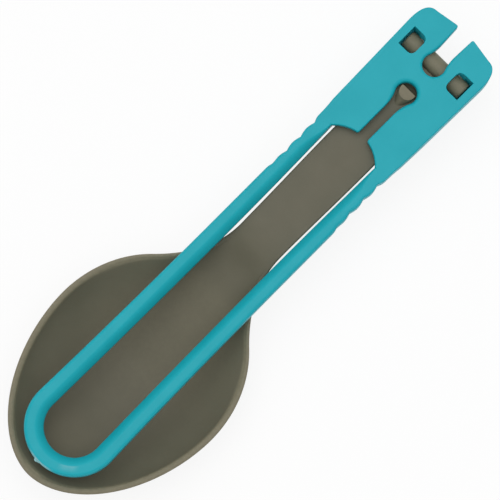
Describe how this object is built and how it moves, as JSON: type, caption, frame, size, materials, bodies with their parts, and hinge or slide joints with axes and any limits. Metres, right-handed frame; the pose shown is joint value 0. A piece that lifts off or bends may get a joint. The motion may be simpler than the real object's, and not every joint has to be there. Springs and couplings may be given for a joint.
{
  "type": "folding spoon",
  "caption": "Folding camping spoon: a plastic bowl and stem that snap-hinge in the head of a long looped handle, which folds flat over the bowl.",
  "frame": {"origin": "under the middle of the folded spoon, level with the lowest point of the bowl", "axes": "+X along the length towards the hinge head, +Y across, +Z out of the bowl's hollow, towards the handle"},
  "size_m": [0.1122, 0.038, 0.0138],
  "materials": {
    "handle_plastic": "satin teal",
    "spoon_nylon": "satin warm grey"
  },
  "bodies": {
    "handle": {"handle": "handle_plastic"},
    "spoon": {"spoon": "spoon_nylon"}
  },
  "joints": [
    {"name": "fold", "type": "hinge", "parent": "handle", "child": "spoon", "pos_m": [0.04842, 0, 0.01045], "axis": [0, -1, 0], "range_deg": [0, 180]}
  ]
}
